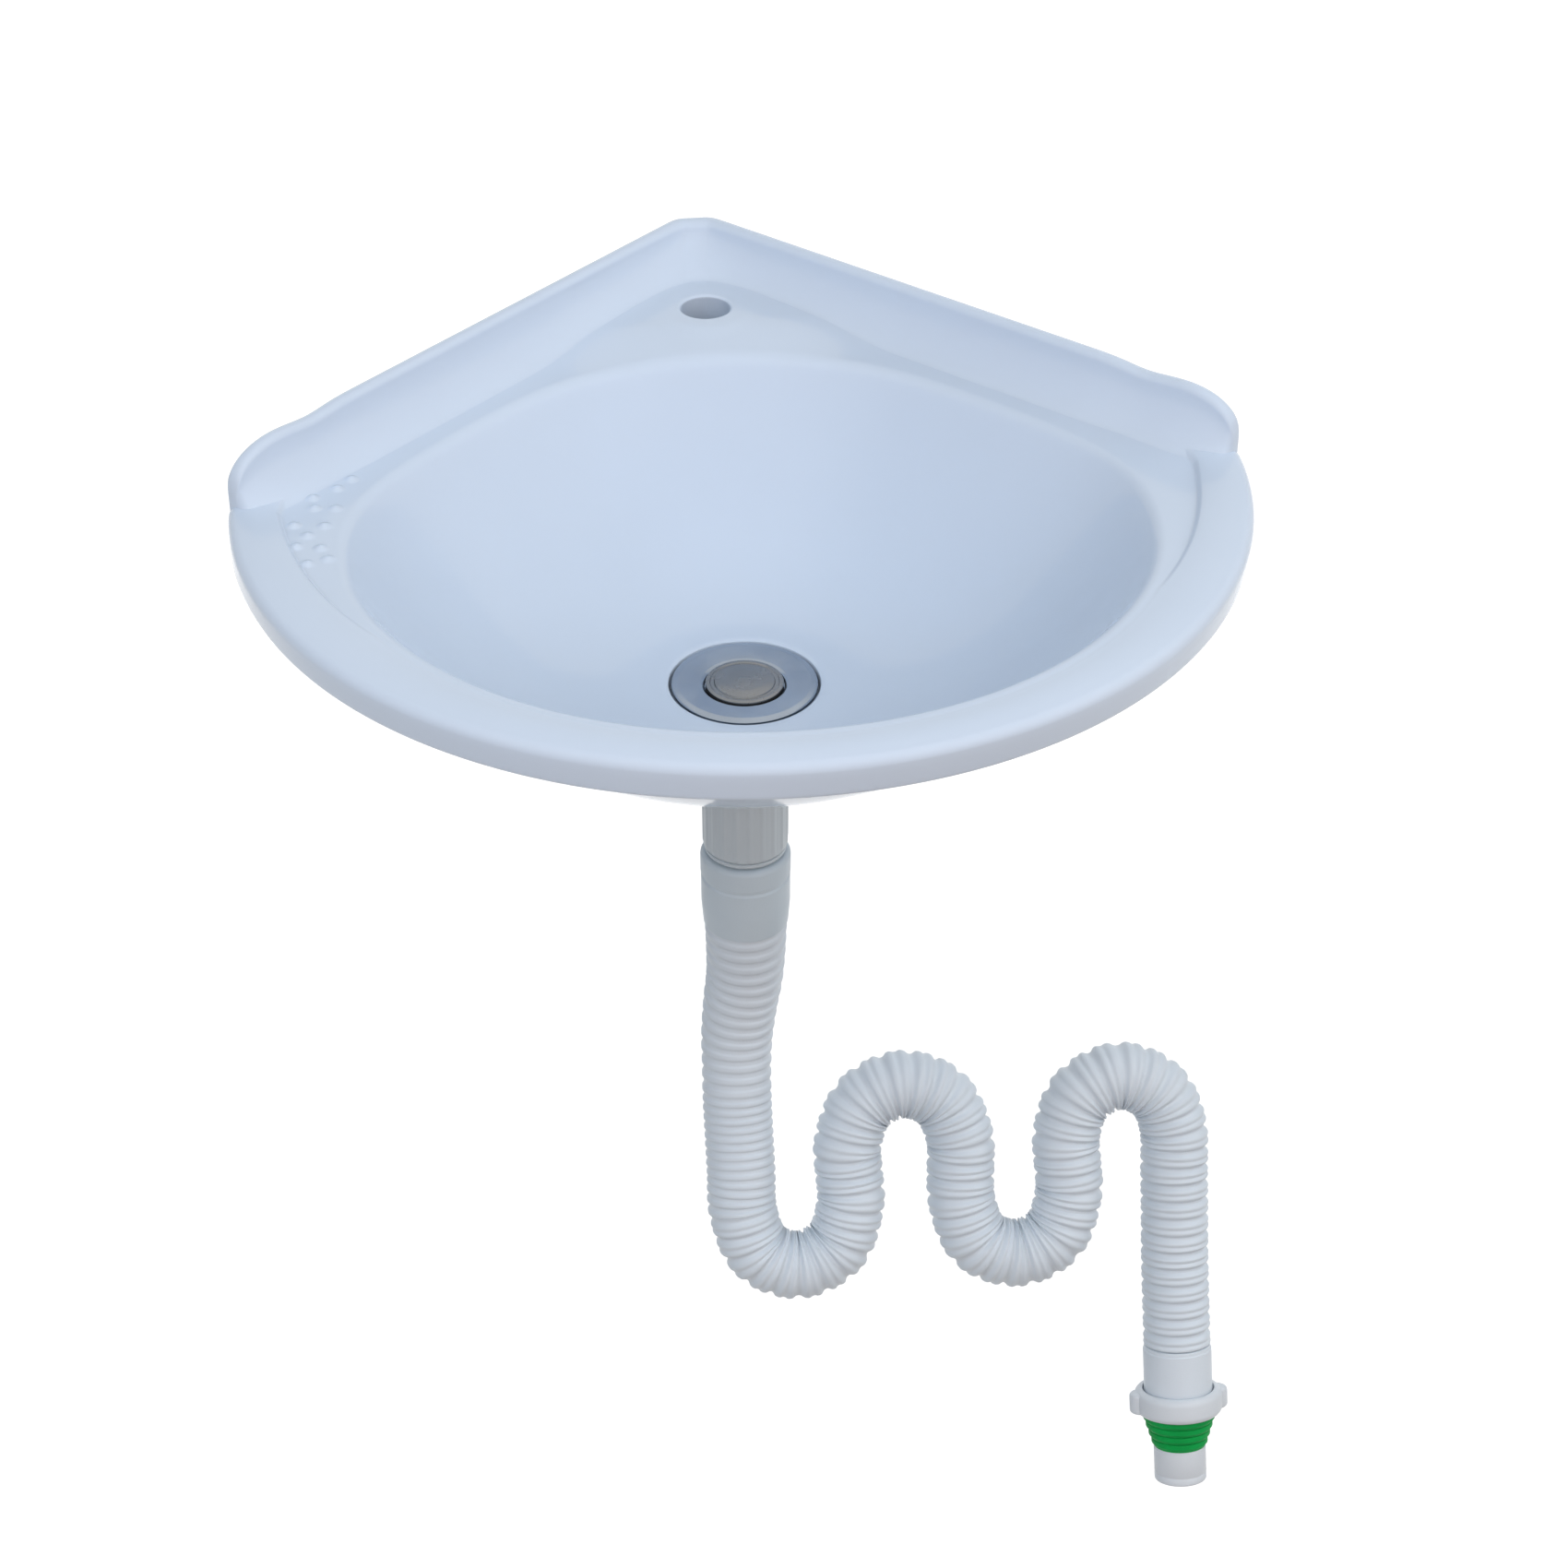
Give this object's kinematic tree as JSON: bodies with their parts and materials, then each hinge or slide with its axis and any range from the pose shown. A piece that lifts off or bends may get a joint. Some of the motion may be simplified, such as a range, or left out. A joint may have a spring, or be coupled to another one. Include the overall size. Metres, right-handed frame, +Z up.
{
  "type": "corner washbasin",
  "caption": "Wall-hung corner washbasin with a round front, an oval bowl, a click waste and a ribbed waste hose ending in a drain connector.",
  "frame": {"origin": "corner where the two walls meet, at the level of the front rim's outer edge", "axes": "+Z up, -Y towards the user, +X to the user's right; the walls lie along (-X, -Y) and (+X, -Y) at 45 degrees"},
  "size_m": [0.5906, 0.566, 0.7267],
  "materials": {
    "china": "glossy white glaze",
    "chrome": "polished, a little worn",
    "plug_steel": "satin",
    "spring_steel": "drawn wire",
    "white_plastic": "moulded, slightly glossy",
    "hose_plastic": "moulded, satin",
    "green_rubber": "smooth",
    "dark_rubber": "smooth"
  },
  "bodies": {
    "washbasin": {"basin": "china", "waste_body": "chrome", "flange_seal": "dark_rubber", "click_housing": "white_plastic", "click_spring": "spring_steel", "under_washer": "dark_rubber", "slip_washer": "white_plastic", "back_nut": "white_plastic", "coupling_nut": "white_plastic", "coupling_washer": "dark_rubber", "hose_cuff": "hose_plastic", "waste_hose": "hose_plastic", "end_collar": "white_plastic", "ring_nut": "white_plastic", "drain_seal": "green_rubber", "drain_spigot": "white_plastic"},
    "plug": {"plug_cap": "plug_steel", "plug_seal": "dark_rubber", "plug_stem": "plug_steel", "click_plunger": "white_plastic"}
  },
  "joints": [
    {"name": "plug_lift", "type": "slide", "parent": "washbasin", "child": "plug", "axis": [0, 0, 1], "range_m": [0, 0.009], "deforming": ["click_spring"]}
  ]
}
